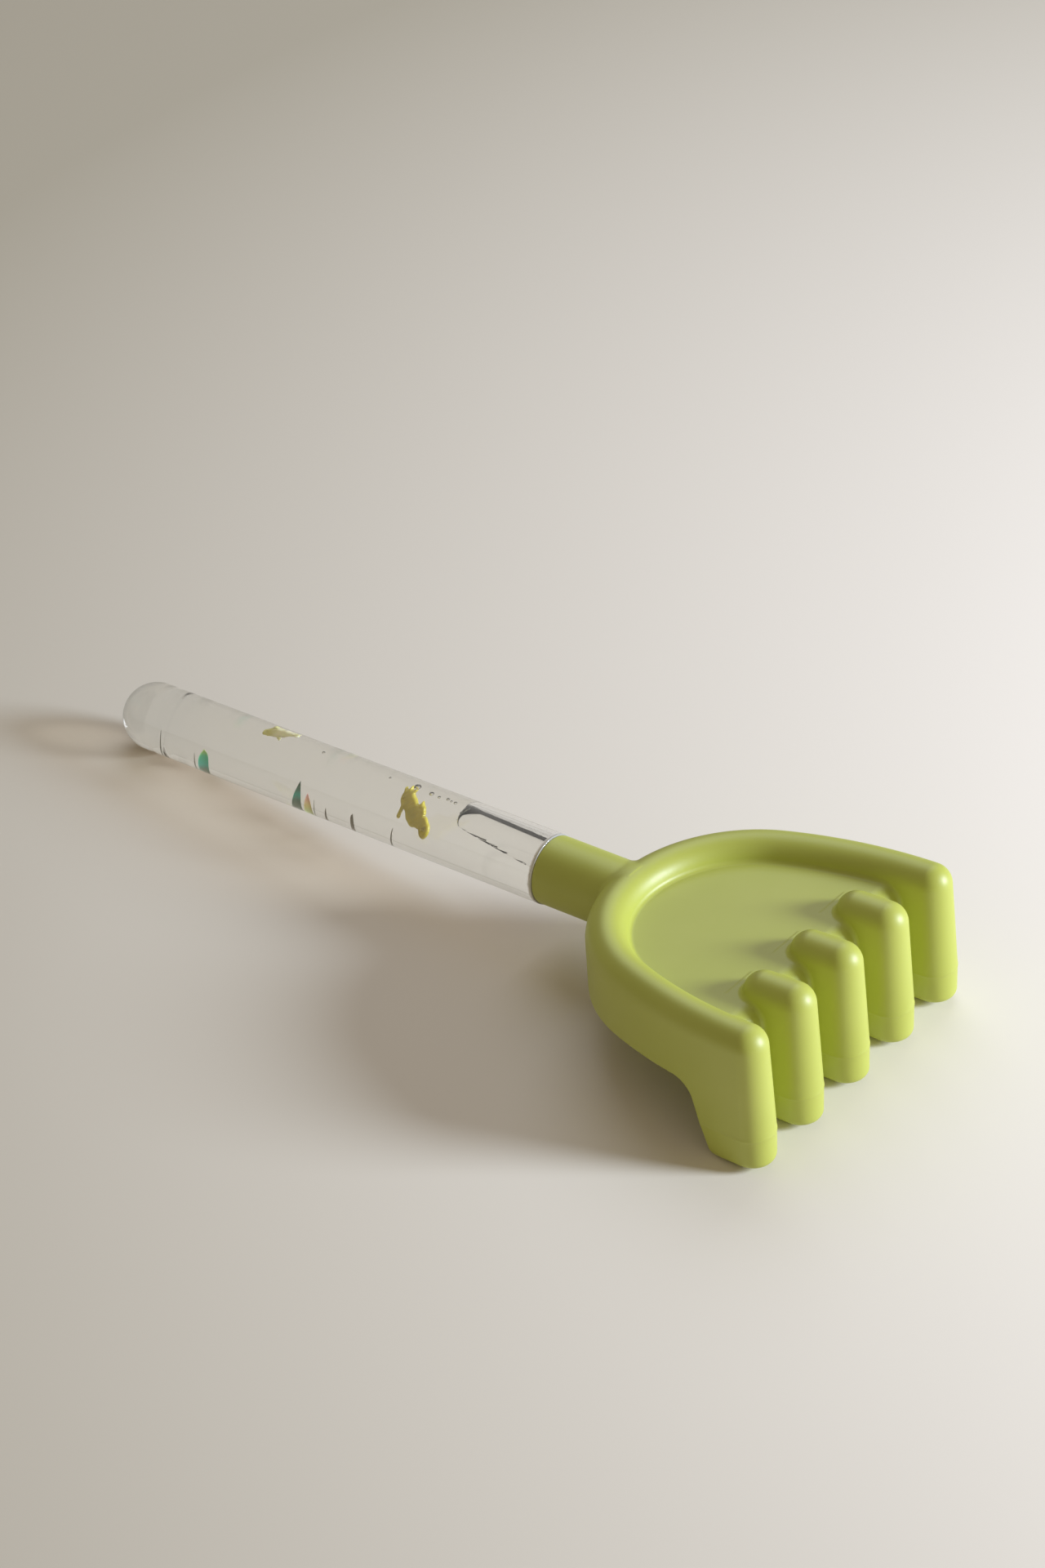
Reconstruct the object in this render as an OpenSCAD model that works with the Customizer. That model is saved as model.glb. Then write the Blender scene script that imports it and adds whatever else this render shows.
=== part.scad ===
/* [Tray and rim] */
// Distance between the centres of neighbouring tines
tine_pitch = 22.9; // [21.5:0.1:26]
// Number of tines, always odd
tine_count = 5; // [5:2:7]
// How much wider each arm stands than the round back of the rim
arm_flare = 5.7; // [3:0.1:8]
// Sweep of the round back of the rim, from its rearmost point to each side, in degrees
back_sweep = 70; // [62:1:76]
// Half width of the rim and the ridges at the tray floor, and their height above it
rim_r = 6.2; // [5.6:0.1:6.8]
// Height of the tray floor above the foot of the tines
floor_h = 38.9; // [35:0.1:46]
// Depth of the skirt's lower edge below the tray floor
skirt_drop = 16.1; // [13:0.1:18]
// Wall of the moulded shell
wall = 2.4; // [1.8:0.1:3]
// Radius of the rounded front edge of the tray floor
lip_r = 6; // [4:0.1:7]
// Distance from the front axis of the tines back to the front edge of the tray floor
lip_setback = 6.6; // [5.5:0.1:9]

/* [Tines] */
// Height above the foot of the line where the two mould halves meet
parting_h = 10.6; // [8:0.1:13]
// Draft of the sides above that line, in degrees
draft_up = 1.2; // [0.5:0.1:2]
// Draft of the sides below that line, in degrees
draft_down = 3; // [1:0.1:5]
// Fillet round the foot of each tine
foot_fillet = 2.5; // [1.5:0.1:3]
// Rounding of the back of the foot
heel_r = 3; // [1.5:0.1:4]
// Depth of a tine at the skirt's lower edge, from its back to its front axis
tine_depth = 17.8; // [15:0.1:20]
// Slope of the back of a tine, in degrees
back_slope = 17; // [8:1:20]
// Rounding between the skirt's lower edge and the back of an outer tine
skirt_fillet = 5; // [3:0.1:6]
// Length of a ridge on the tray floor, from the centre of its round end to the front axis
ridge_run = 10.1; // [8:0.1:13]

/* [Handle] */
// Outer diameter of the clear tube
tube_d = 22; // [20.8:0.1:24]
// Wall of the clear tube
tube_wall = 1.8; // [1.4:0.1:2.2]
// Length of the clear tube
tube_len = 154; // [130:1:180]
// Outer diameter of the neck
neck_d = 21.4; // [20.6:0.1:22]
// Length of the neck that shows between the rim and the collar
neck_len = 24.2; // [20:0.1:32]
// Depth of the handle axis below the tray floor at the collar
axis_drop = 3.9; // [3.2:0.1:5]
// Angle by which the handle rises from the tray towards its far end, in degrees
handle_rise = 1.5; // [0:0.1:3]
// Diameter of the plug's stem inside the neck
stem_d = 17.6; // [15:0.1:18]
// Length of the plug's stem
stem_len = 17; // [12:0.1:18]
// Thickness of the plug's clear collar between the neck and the tube
collar_t = 1.2; // [0.8:0.1:2]
// Length of the plug inside the tube
plug_len = 3.8; // [3:0.1:6]
// Straight part of the end cap before its dome
cap_run = 4.4; // [3:0.1:8]
// Wall of the end cap
cap_wall = 1.8; // [1.4:0.1:2.4]
// Length of the end cap's spigot inside the tube
spigot_len = 3; // [2:0.1:5]
// Wall of the end cap's spigot
spigot_wall = 1.2; // [1:0.1:1.6]
// Width of the groove round the seam between the tube and the end cap
seam_w = 1.8; // [0.4:0.1:2.2]

/* [Filling] */
// Length of the air pocket from the collar
air_len = 38; // [25:1:50]
// Height of the seahorse from its crown to its tail
seahorse_h = 14.5; // [12:0.1:15]
// Length of the fish from nose to tail
fish_len = 13; // [10:0.1:14]
// Thickness of the seahorse and the fish
figure_t = 2; // [1.4:0.1:2.2]
// Thickness of a sequin
sequin_t = 0.3; // [0.2:0.05:0.5]

/* [Hidden] */
$fn = 96;

// Overrun of every cut past the face it opens
over = 1;
// Gap of a cemented fit and of the liquid against its walls
fit_gap = 0.05;
// Gap between a floating piece and the liquid round it
float_gap = 0.3;
// Smallest fillet left inside a wall
least_fillet = 0.3;
// Straight steps in a rounded corner and in a quarter of the rim's crown
corner_steps = 6;
crown_steps = 7;
// Facets of the round pieces in the seahorse's outline
blob_facets = 24;

// Tines across the tray
half_width = (tine_count - 1) / 2 * tine_pitch;
part_r = rim_r + (floor_h - parting_h) * tan(draft_up);
skirt_h = floor_h - skirt_drop;

// Plan of the rim: a round back and a long arc on each side, which ends at the axis of an outer tine
back_r = half_width - arm_flare;
side_extra = arm_flare / (1 - sin(back_sweep));
side_r = back_r + side_extra;
rim_rear_x = neck_len + rim_r;
back_x = rim_rear_x + back_r;
front_x = back_x + side_extra * cos(back_sweep);
lip_x = front_x - lip_setback;
ridge_x = front_x - ridge_run;

// Back of the tines, seen from the side
skirt_back_x = front_x - tine_depth;
heel_x = skirt_back_x + skirt_h * tan(back_slope);
corner_share = 1 / tan((90 + back_slope) / 2);
heel_flat_x = heel_x + heel_r * corner_share;

// Handle
tube_r = tube_d / 2;
bore_r = tube_r - tube_wall;
neck_r = neck_d / 2;
stem_r = stem_d / 2;
axis_h = floor_h - axis_drop;
seam_s = collar_t + tube_len;
dome_s = seam_s + cap_run;

// Rest attitude: the heels of the tines and the end of the handle stand on the ground
dome_x = -dome_s * cos(handle_rise);
dome_h = axis_h + dome_s * sin(handle_rise);
span_x = heel_flat_x - dome_x;
span_h = dome_h - heel_r;
rest_tilt = atan2(span_h, span_x) - asin((tube_r - heel_r) / norm([span_x, span_h]));
ground_h = heel_flat_x * sin(rest_tilt) + heel_r * cos(rest_tilt) - heel_r;
foot_r = part_r - (parting_h - foot_fillet) * tan(draft_down) - foot_fillet / cos(draft_down);
most_x = (front_x + foot_r) * cos(rest_tilt) - foot_fillet * sin(rest_tilt) + foot_fillet;
least_x = dome_x * cos(rest_tilt) - dome_h * sin(rest_tilt) - tube_r;
middle_x = (most_x + least_x) / 2;

// Level of the liquid, where the top of the bore meets the end of the air pocket
air_x = -air_len * cos(handle_rise) + bore_r * sin(handle_rise);
air_h = axis_h + air_len * sin(handle_rise) + bore_r * cos(handle_rise);
liquid_level = air_x * sin(rest_tilt) + air_h * cos(rest_tilt) - ground_h;

// Floating pieces: places along the tube as shares of its length, sizes as shares of the bore
figure_turn = 42;
seahorse_share = 0.345;
seahorse_rise_share = 0.1;
seahorse_lean = 50;
seahorse_room_shares = [0.7, 1.05];
fish_share = 0.72;
fish_lean = 8;
fish_room_share = 0.4;
sequin_place_shares = [1.001, 0.9, 0.876, 0.628, 0.585, 0.57, 0.538, 0.469, 0.374];
sequin_w_shares = [0.24, 0.2, 0.36, 0.4, 0.26, 0.22, 0.18, 0.26, 0.22];
sequin_h_shares = [0.5, 0.46, 0.7, 0.66, 0.46, 0.4, 0.34, 0.42, 0.44];
sequin_turns = [-52, -46, 40, 32, 20, -58, -50, -30, -48];
sequin_colors = ["seagreen", "seagreen", "mediumseagreen", "seagreen", "lightsalmon", "seagreen",
                 "seagreen", "seagreen", "seagreen"];
sequin_seat = 2 * float_gap;

// Spine of the seahorse from crown to tail: across, up and radius, as shares of its height
seahorse_spine_shares = [
    [-0.05, 0.41, 0.07], [-0.1, 0.33, 0.11], [-0.09, 0.19, 0.085], [-0.1, 0.06, 0.125],
    [-0.05, -0.06, 0.12], [0.01, -0.2, 0.085], [0.07, -0.31, 0.065], [0.09, -0.4, 0.06],
    [0.04, -0.445, 0.045], [-0.03, -0.42, 0.04]];
crown_shares = [[-0.13, 0.445, 0.04], [-0.04, 0.465, 0.035], [0.035, 0.41, 0.035]];
snout_shares = [[-0.12, 0.33, 0.07], [-0.3, 0.26, 0.04]];
back_fin_shares = [[0, 0.15], [0.12, 0.11], [0.19, -0.05], [0.13, -0.17], [0.04, -0.16]];

// Outline of the fish from its nose along its belly: across and up, as shares of its length
fish_outline_shares = [
    [-0.5, -0.02], [-0.44, -0.08], [-0.3, -0.12], [-0.14, -0.13], [0, -0.12], [0.16, -0.08],
    [0.28, -0.03], [0.4, -0.08], [0.5, -0.1], [0.45, 0], [0.5, 0.1], [0.4, 0.08], [0.28, 0.03],
    [0.12, 0.08], [0, 0.12], [-0.1, 0.17], [-0.22, 0.17], [-0.32, 0.11], [-0.44, 0.05]];

// Height of the fish in the bore, where its highest point just clears the wall
fish_top_share = max([for (p = fish_outline_shares) p.y * cos(fish_lean) + p.x * sin(fish_lean)]);
fish_rise = sqrt(pow(bore_r - float_gap, 2) - pow(figure_t / 2, 2)) - fish_top_share * fish_len;

// Shape helpers

// Points of an arc
function arc(centre, radius, start, end, steps) = [
    for (i = [0 : steps]) let (a = start + (end - start) * i / steps)
        centre + radius * [cos(a), sin(a)]];

// Arc that rounds the corner at b on the way from a to c
function corner_arc(a, b, c, radius) =
    let (u = (a - b) / norm(a - b), v = (c - b) / norm(c - b), half = acos(u * v) / 2,
         centre = b + radius / sin(half) * (u + v) / norm(u + v),
         first = b + radius / tan(half) * u - centre, start = atan2(first.y, first.x),
         turn = sign(u.y * v.x - u.x * v.y) * (180 - 2 * half))
    arc(centre, radius, start, start + turn, corner_steps);

// Outline through points [x, y, corner radius]
function rounded(path) = [
    for (i = [0 : len(path) - 1]) let (
            a = path[(i + len(path) - 1) % len(path)], b = path[i], c = path[(i + 1) % len(path)])
        each b.z > 0 ? corner_arc([a.x, a.y], [b.x, b.y], [c.x, c.y], b.z) : [[b.x, b.y]]];

// Profile drawn across and up, extruded back from the axis of the tines' fronts
module behind_front(run) {
    translate([front_x, 0, 0]) rotate([90, 0, -90]) linear_extrude(height = run) children();
}

// Profile drawn forwards and up, extruded to both sides
module across_y(width) {
    rotate([90, 0, 0]) linear_extrude(height = width, center = true) children();
}

// Places children along the handle: up is +X, the far end is +Z, the collar's neck side is zero
module along_handle() {
    translate([0, 0, axis_h]) rotate([0, handle_rise - 90, 0]) children();
}

// Sets the level model down on its heels and the end of its handle
module at_rest() {
    translate([-middle_x, 0, -ground_h]) rotate([0, -rest_tilt, 0]) children();
}

// Rake head

// Right half of the cross-section of the rim, a ridge and a tine, drawn in by inset
function tine_outline(inset) =
    let (mid = part_r - inset, fillet = max(foot_fillet - inset, least_fillet),
         fillet_h = inset + fillet,
         fillet_x = mid - (parting_h - fillet_h) * tan(draft_down) - fillet / cos(draft_down))
    concat(
        arc([fillet_x, fillet_h], fillet, -90, -draft_down, corner_steps), [[mid, parting_h]],
        arc([0, floor_h], rim_r - inset, -draft_up, 90, crown_steps));

module tine_profile(inset) {
    right = tine_outline(inset);
    left = [for (i = [len(right) - 2 : -1 : 0]) [-right[i].x, right[i].y]];
    polygon(concat(right, left));
}

module tine_half(inset) {
    polygon(concat([[0, inset]], tine_outline(inset)));
}

// Round front of a tine, from its foot to its ridge
module tine_front(inset) {
    translate([front_x, 0, 0]) rotate([0, 0, -90]) rotate_extrude(angle = 180) tine_half(inset);
}

// Round back of the rim
module rim_back(inset) {
    translate([back_x, 0, 0]) rotate([0, 0, 180 - back_sweep]) rotate_extrude(angle = 2 * back_sweep)
        translate([back_r, 0]) tine_profile(inset);
}

// One side of the rim with its arm and outer tine
module rim_arm(inset) {
    translate([front_x, half_width - side_r, 0]) rotate([0, 0, 90])
        rotate_extrude(angle = 90 - back_sweep) translate([side_r, 0]) tine_profile(inset);
    translate([0, half_width, 0]) tine_front(inset);
}

module rim_arms(inset) {
    rim_arm(inset);
    mirror([0, 1, 0]) rim_arm(inset);
}

// Side view of what lies ahead of the back of the tines, below the height top_h
module tine_side(top_h) {
    polygon(rounded([
        [skirt_back_x, top_h, 0], [skirt_back_x, skirt_h, 0], [heel_x, 0, heel_r],
        [front_x + 2 * rim_r, 0, 0], [front_x + 2 * rim_r, top_h, 0]]));
}

// Side view of the rim, its skirt and the outer tines
module rim_side() {
    polygon(rounded([
        [0, 2 * floor_h, 0], [0, skirt_h, 0], [skirt_back_x, skirt_h, skirt_fillet],
        [heel_x, 0, heel_r], [front_x + 2 * rim_r, 0, 0], [front_x + 2 * rim_r, 2 * floor_h, 0]]));
}

// Space inside the centre line of the rim, as far as the front edge of the tray floor
module tray_plan() {
    back_end = 180 - back_sweep;
    side_end = 90 + asin(lip_setback / side_r);
    side = [front_x, half_width - side_r];
    right = concat(
        arc([back_x, 0], back_r, 180, back_end, 3 * crown_steps),
        arc(side, side_r, back_end, side_end, crown_steps));
    left = [for (i = [len(right) - 1 : -1 : 1]) [right[i].x, -right[i].y]];
    polygon(concat(right, left));
}

// Side view of the tray floor with its rounded front edge, drawn in by inset, down to low_h
module tray_side(inset, low_h) {
    top = floor_h - inset;
    front = lip_x - inset;
    polygon(rounded([
        [0, low_h, 0], [front, low_h, 0], [front, top, lip_r - inset], [0, top, 0]]));
}

// Tray floor and all below it, drawn in by inset
module tray_body(inset, low_h) {
    intersection() {
        linear_extrude(height = 2 * floor_h) tray_plan();
        across_y(4 * half_width) tray_side(inset, low_h);
    }
}

// An inner tine and its ridge, solid
module inner_tine() {
    top_h = floor_h - wall / 2;
    tine_front(0);
    intersection() {
        behind_front(tine_depth + over) tine_profile(0);
        across_y(2 * tine_pitch) polygon(rounded([
            [skirt_back_x, top_h, 0], [skirt_back_x, skirt_h, 0], [heel_x, 0, heel_r],
            [front_x + over, 0, 0], [front_x + over, 2 * floor_h, 0], [ridge_x, 2 * floor_h, 0],
            [ridge_x, top_h, 0]]));
    }
    ridge_end(0, top_h);
}

// Hollow inside an inner tine, open at its back
module inner_tine_hollow() {
    under_h = floor_h - wall - fit_gap;
    open_x = skirt_back_x - over;
    tine_front(wall);
    intersection() {
        behind_front(tine_depth + 2 * over) tine_profile(wall);
        across_y(2 * tine_pitch) polygon([
            [open_x, under_h], [open_x, 0], [front_x + over, 0], [front_x + over, 2 * floor_h],
            [ridge_x, 2 * floor_h], [ridge_x, under_h]]);
    }
    ridge_end(wall, under_h - over);
}

// Round rear end of a ridge above low_h, drawn in by inset
module ridge_end(inset, low_h) {
    translate([ridge_x, 0, 0]) intersection() {
        rotate([0, 0, 90]) rotate_extrude(angle = 180) tine_half(inset);
        translate([-tine_pitch, -tine_pitch, low_h]) cube([2 * tine_pitch, 2 * tine_pitch, floor_h]);
    }
}

module inner_tines() {
    inner_count = tine_count - 2;
    for (i = [0 : inner_count - 1])
        translate([0, (i - (inner_count - 1) / 2) * tine_pitch, 0]) children();
}

module rake_head() {
    tine_top_h = floor_h - wall / 2;
    color("yellowgreen") at_rest() difference() {
        union() {
            difference() {
                union() {
                    intersection() {
                        union() {
                            rim_back(0);
                            rim_arms(0);
                        }
                        across_y(4 * half_width) rim_side();
                    }
                    tray_body(0, skirt_h);
                    neck();
                }
                rim_back(wall);
                tray_body(wall, skirt_h - over);
            }
            intersection() {
                rim_arms(0);
                across_y(4 * half_width) tine_side(tine_top_h);
            }
            inner_tines() inner_tine();
        }
        rim_arms(wall);
        inner_tines() inner_tine_hollow();
        along_handle() translate([0, 0, -stem_len - fit_gap])
            cylinder(r = stem_r + fit_gap, h = stem_len + over);
    }
}

// Round neck between the collar and the crown of the rim
module neck() {
    along_handle() translate([0, 0, -rim_rear_x]) cylinder(r = neck_r, h = rim_rear_x);
}

// Handle

module handle_tube() {
    color("aliceblue", 0.4) at_rest() along_handle() rotate_extrude() polygon([
        [bore_r, collar_t], [tube_r, collar_t], [tube_r, seam_s - seam_w / 2],
        [tube_r - seam_w / 2, seam_s], [bore_r, seam_s]]);
}

module end_cap() {
    spigot_r = bore_r - fit_gap;
    color("aliceblue", 0.5) at_rest() along_handle() rotate_extrude() difference() {
        union() {
            translate([0, dome_s]) intersection() {
                circle(r = tube_r);
                square([tube_r, tube_r]);
            }
            polygon([
                [0, dome_s], [0, seam_s - spigot_len], [spigot_r, seam_s - spigot_len],
                [spigot_r, seam_s], [tube_r - seam_w / 2, seam_s], [tube_r, seam_s + seam_w / 2],
                [tube_r, dome_s]]);
        }
        translate([0, dome_s]) intersection() {
            circle(r = tube_r - cap_wall);
            square([tube_r, tube_r]);
        }
        translate([0, seam_s + cap_wall]) square([tube_r - cap_wall, dome_s - seam_s - cap_wall]);
        translate([0, seam_s - spigot_len - over])
            square([spigot_r - spigot_wall, spigot_len + cap_wall + 2 * over]);
    }
}

module tube_plug() {
    color("aliceblue", 0.6) at_rest() along_handle() {
        translate([0, 0, -stem_len]) cylinder(r = stem_r, h = stem_len + over);
        cylinder(r = tube_r, h = collar_t);
        cylinder(r = bore_r - fit_gap, h = collar_t + plug_len);
    }
}

// Filling

// Everything inside the tube and the end cap, less a film against the walls
module chamber() {
    plug_end = collar_t + plug_len + fit_gap;
    spigot_start = seam_s - spigot_len - fit_gap;
    ring_r = bore_r - spigot_wall - 2 * fit_gap;
    dome_r = tube_r - cap_wall - fit_gap;
    wide_s = seam_s + cap_wall + fit_gap;
    rotate_extrude() {
        polygon([
            [0, plug_end], [bore_r - fit_gap, plug_end], [bore_r - fit_gap, spigot_start],
            [ring_r, spigot_start], [ring_r, wide_s], [dome_r, wide_s], [dome_r, dome_s],
            [0, dome_s]]);
        translate([0, dome_s]) intersection() {
            circle(r = dome_r);
            square(dome_r);
        }
    }
}

// Box of the given size with room to move all round
module room(size) {
    cube(size + 2 * float_gap * [1, 1, 1], center = true);
}

module liquid() {
    box_x = dome_s + tube_d;
    color("lightcyan", 0.3) difference() {
        at_rest() along_handle() difference() {
            chamber();
            seahorse_at() room([
                seahorse_room_shares.x * seahorse_h, seahorse_room_shares.y * seahorse_h, figure_t]);
            fish_at() room([fish_len, fish_room_share * fish_len, figure_t]);
            for (i = [0 : len(sequin_place_shares) - 1]) sequin_at(i)
                translate([0, 0, sequin_h_shares[i] * bore_r / 2])
                    room([sequin_w_shares[i] * bore_r, sequin_t, sequin_h_shares[i] * bore_r]);
        }
        translate([-box_x, -tube_r, liquid_level]) cube([2 * box_x, tube_d, box_x]);
    }
}

// Places the seahorse, drawn flat with its crown up, in the tube
module seahorse_at() {
    rotate([0, 0, figure_turn]) translate([seahorse_rise_share * bore_r, 0, seahorse_share * tube_len])
        rotate([0, -seahorse_lean, 0]) rotate([90, 0, 0]) rotate([0, 0, -90]) children();
}

module fish_at() {
    rotate([0, 0, figure_turn / 2]) translate([fish_rise, 0, fish_share * tube_len])
        rotate([0, -fish_lean, 0]) rotate([90, 0, 0]) rotate([0, 0, -90]) children();
}

// Round piece of an outline: shares of a size for across, up and radius
module blob(shares, size) {
    translate([shares[0] * size, shares[1] * size]) circle(r = shares[2] * size, $fn = blob_facets);
}

module seahorse() {
    color("goldenrod") at_rest() along_handle() seahorse_at()
        linear_extrude(height = figure_t, center = true) {
            for (i = [0 : len(seahorse_spine_shares) - 2]) hull() {
                blob(seahorse_spine_shares[i], seahorse_h);
                blob(seahorse_spine_shares[i + 1], seahorse_h);
            }
            for (bump = crown_shares) blob(bump, seahorse_h);
            hull() for (part = snout_shares) blob(part, seahorse_h);
            polygon(seahorse_h * back_fin_shares);
        }
}

module fish() {
    color("greenyellow") at_rest() along_handle() fish_at()
        linear_extrude(height = figure_t, center = true) polygon(fish_len * fish_outline_shares);
}

// Inner radius under a sequin: the end cap's spigot narrows the bore
function sequin_bore_r(i) =
    let (spigot_start = seam_s - spigot_len - sequin_w_shares[i] * bore_r)
    sequin_place_shares[i] * tube_len > spigot_start ? bore_r - spigot_wall - fit_gap : bore_r;

// Places a sequin standing on the bottom of the bore
module sequin_at(i) {
    translate([sequin_seat - sequin_bore_r(i), 0, sequin_place_shares[i] * tube_len])
        rotate([sequin_turns[i], 0, 0]) rotate([0, 90, 0]) children();
}

// Pointed flake with a straight foot
module sequin(i) {
    w = sequin_w_shares[i] * bore_r;
    h = sequin_h_shares[i] * bore_r;
    arc_r = (h * h + w * w / 4) / w;
    color(sequin_colors[i]) at_rest() along_handle() sequin_at(i) rotate([90, 0, 0])
        linear_extrude(height = sequin_t, center = true) intersection() {
            translate([arc_r - w / 2, 0]) circle(r = arc_r);
            translate([w / 2 - arc_r, 0]) circle(r = arc_r);
            translate([-w / 2, 0]) square([w, h]);
        }
}

rake_head();
handle_tube();
end_cap();
tube_plug();
liquid();
seahorse();
fish();
sequin(0);  // sequin_1
sequin(1);  // sequin_2
sequin(2);  // sequin_3
sequin(3);  // sequin_4
sequin(4);  // sequin_5
sequin(5);  // sequin_6
sequin(6);  // sequin_7
sequin(7);  // sequin_8
sequin(8);  // sequin_9
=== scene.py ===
"""Looks of the sand rake: satin green head, clear liquid-filled handle with charms, pale soft studio."""

import math

import bmesh
import bpy
import numpy as np
from mathutils import Matrix, Vector


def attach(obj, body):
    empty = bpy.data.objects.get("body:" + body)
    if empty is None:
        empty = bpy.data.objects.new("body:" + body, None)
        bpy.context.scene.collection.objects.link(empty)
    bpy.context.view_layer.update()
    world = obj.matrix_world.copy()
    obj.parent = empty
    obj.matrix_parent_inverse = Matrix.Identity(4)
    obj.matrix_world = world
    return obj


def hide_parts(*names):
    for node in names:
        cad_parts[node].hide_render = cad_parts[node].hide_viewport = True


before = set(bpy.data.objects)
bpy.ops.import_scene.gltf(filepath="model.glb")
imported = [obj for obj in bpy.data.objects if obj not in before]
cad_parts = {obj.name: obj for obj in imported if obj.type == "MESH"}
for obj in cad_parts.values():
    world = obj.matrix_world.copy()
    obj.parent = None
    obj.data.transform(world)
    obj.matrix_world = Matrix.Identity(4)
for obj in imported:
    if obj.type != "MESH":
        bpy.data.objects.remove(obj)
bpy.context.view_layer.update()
MM = 0.001

# Sizes of the head, in mm, as in the part's source
TINE_PITCH = 22.9
HALF_WIDTH = 2 * TINE_PITCH
INNER_TINES = (-TINE_PITCH, 0.0, TINE_PITCH)
ARM_FLARE = 5.7
BACK_SWEEP = math.radians(70)
RIM_R = 6.2
FLOOR_H = 38.9
SKIRT_DROP = 16.1
SKIRT_H = FLOOR_H - SKIRT_DROP
WALL = 2.4
LIP_R = 6.0
PARTING_H = 10.6
DRAFT_UP = math.radians(1.2)
DRAFT_DOWN = math.radians(3)
FOOT_FILLET = 2.5
HEEL_R = 3.0
TINE_DEPTH = 17.8
BACK_SLOPE = math.radians(17)
SKIRT_FILLET = 5.0
RIDGE_RUN = 10.1
LIP_RUN = 6.6
NECK_LEN = 24.2
NECK_R = 10.7
STEM_R = 8.8
STEM_LEN = 17.0

BACK_R = HALF_WIDTH - ARM_FLARE
SIDE_EXTRA = ARM_FLARE / (1 - math.sin(BACK_SWEEP))
SIDE_R = BACK_R + SIDE_EXTRA
RIM_REAR_X = NECK_LEN + RIM_R
BACK_X = RIM_REAR_X + BACK_R
FRONT_X = BACK_X + SIDE_EXTRA * math.cos(BACK_SWEEP)
LIP_X = FRONT_X - LIP_RUN
RIDGE_X = FRONT_X - RIDGE_RUN
SKIRT_BACK_X = FRONT_X - TINE_DEPTH
HEEL_X = SKIRT_BACK_X + SKIRT_H * math.tan(BACK_SLOPE)
HEEL_FLAT_X = HEEL_X + HEEL_R * math.tan((math.pi / 2 - BACK_SLOPE) / 2)
PART_R = RIM_R + (FLOOR_H - PARTING_H) * math.tan(DRAFT_UP)
FOOT_R = PART_R - (PARTING_H - FOOT_FILLET) * math.tan(DRAFT_DOWN) - FOOT_FILLET / math.cos(DRAFT_DOWN)

# How far the hollow of an inner tine runs out past the tine's back, in mm
TROUGH_OVERRUN = 1.0

# Soft edges that only the looks have, in mm
EDGE_R = 0.7
FLOOR_FILLET = 1.4
NECK_FILLET = 0.9
RIDGE_FILLET = 1.6
PARTING_RIDGE = 0.12
PARTING_RIDGE_W = 0.45
NECK_BEAD = 0.22
NECK_BEAD_W = 0.5
NECK_EDGE_R = 0.35

# Sizes of the handle, in mm
TUBE_R = 11.0
BORE_R = 9.2
AXIS_H = 35.0
RISE = math.radians(1.5)
COLLAR_T = 1.2
TUBE_LEN = 154.0
CAP_STRAIGHT = 4.4
SEAM_S = COLLAR_T + TUBE_LEN
DOME_S = SEAM_S + CAP_STRAIGHT
SEAM_DEPTH = 0.25
SEAM_HALF = 2.4
PLUG_FACE_T = 0.4
PLUG_END = COLLAR_T + PLUG_FACE_T
PLUG_STEM_EDGE_R = 0.6
PLUG_COLLAR_EDGE_R = 0.3

# Filling: the liquid's surface above the axis at the plug, its meniscus on either side, the blunt end of
# the air above it, and the liquid's film in the wall
LEVEL_UP = 3.6
MENISCUS_NEAR = 2.4
MENISCUS_FAR = 0.7
POCKET_END = 33.4
POCKET_R = 3.0
FILM = 0.06

# Charms: sizes in mm, the shares of a charm's size that round its inner corners, its edge as a share of
# its thickness, the rings across the seahorse, and the room round a charm as a share of its size
SEAHORSE_H = 14.5
FISH_LEN = 13.0
FIGURE_T = 2.0
BODY_BLEND = 0.02
LIMB_BLEND = 0.01
EDGE_SHARE = 0.45
PRICK_EDGE_R = 0.1
RING_PITCH = 1.4
RING_DEPTH = 0.1
ROOM_SHARE = 0.62

# Sequins: seat above the bottom of the bore, half thickness, least half width, and how deep they are
# hollowed per mm of half width
SEQUIN_SEAT = 0.6
FOIL_HALF = 0.07
LEAST_HALF = 0.05
HOLLOW = 0.3

# Bubbles: their gap to the bore and how far they are drawn out along it
BUBBLE_GAP = 0.1
BUBBLE_STRETCH = 1.15

HEAD_ROOM = ((-1, -54.5, -1), (111.5, 54.5, 47.5))
HEAD_STEP = 0.5
LIQUID_STEP = 0.45
CHARM_STEP = 0.2
CRISP_CORNER = math.radians(40)
SMOOTH_CORNER = math.radians(30)

# How the level model stands on its heels and the end of its handle
DOME_X = -DOME_S * math.cos(RISE)
DOME_H = AXIS_H + DOME_S * math.sin(RISE)
SPAN = (HEEL_FLAT_X - DOME_X, DOME_H - HEEL_R)
TILT = math.atan2(SPAN[1], SPAN[0]) - math.asin((TUBE_R - HEEL_R) / math.hypot(*SPAN))
GROUND_H = HEEL_FLAT_X * math.sin(TILT) + HEEL_R * math.cos(TILT) - HEEL_R
MOST_X = (FRONT_X + FOOT_R) * math.cos(TILT) - FOOT_FILLET * math.sin(TILT) + FOOT_FILLET
LEAST_X = DOME_X * math.cos(TILT) - DOME_H * math.sin(TILT) - TUBE_R
SHIFT = np.array([-(MOST_X + LEAST_X) / 2, 0.0, -GROUND_H])
AT_REST = np.array([[math.cos(TILT), 0, -math.sin(TILT)],
                    [0, 1, 0],
                    [math.sin(TILT), 0, math.cos(TILT)]])
HANDLE_UP = np.array([math.sin(RISE), 0, math.cos(RISE)])
HANDLE_SIDE = np.array([0, 1.0, 0])
HANDLE_AWAY = np.array([-math.cos(RISE), 0, math.sin(RISE)])
HANDLE_START = np.array([0, 0, AXIS_H])
SLOPE = TILT - RISE


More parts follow.
